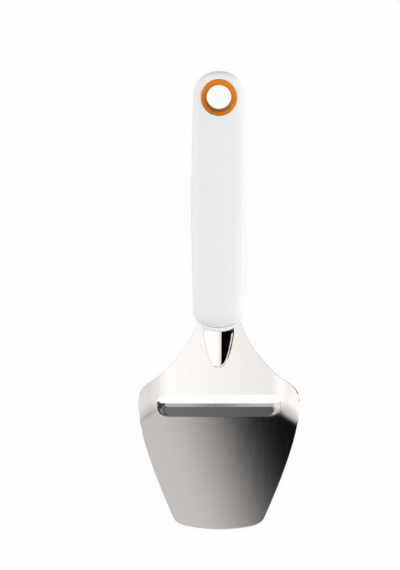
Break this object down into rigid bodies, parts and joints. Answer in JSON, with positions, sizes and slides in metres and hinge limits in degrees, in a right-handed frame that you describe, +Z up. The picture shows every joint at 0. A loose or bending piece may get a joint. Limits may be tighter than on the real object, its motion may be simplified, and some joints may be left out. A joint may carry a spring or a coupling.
{
  "type": "cheese slicer",
  "caption": "Cheese slicer with a flat steel spatula blade, a cutting slot behind a pressed lip, a ribbed neck, and a white handle with an orange hanging ring.",
  "frame": {"origin": "middle of the tool's box in plan, on the surface that it lies on", "axes": "+Y from the blade's tip to the handle's end, +X across the blade, +Z up from the face that is pictured"},
  "size_m": [0.078, 0.221, 0.0225],
  "materials": {
    "stainless_steel": "polished stainless sheet with a fine lengthwise grain",
    "white_rigid_plastic": "smooth white moulding",
    "white_soft_plastic": "fine matt soft-touch moulding",
    "orange_plastic": "satin orange moulding"
  },
  "bodies": {
    "root": {"blade": "stainless_steel", "handle_core": "white_rigid_plastic", "soft_grip": "white_soft_plastic", "hanging_ring": "orange_plastic"}
  },
  "joints": []
}
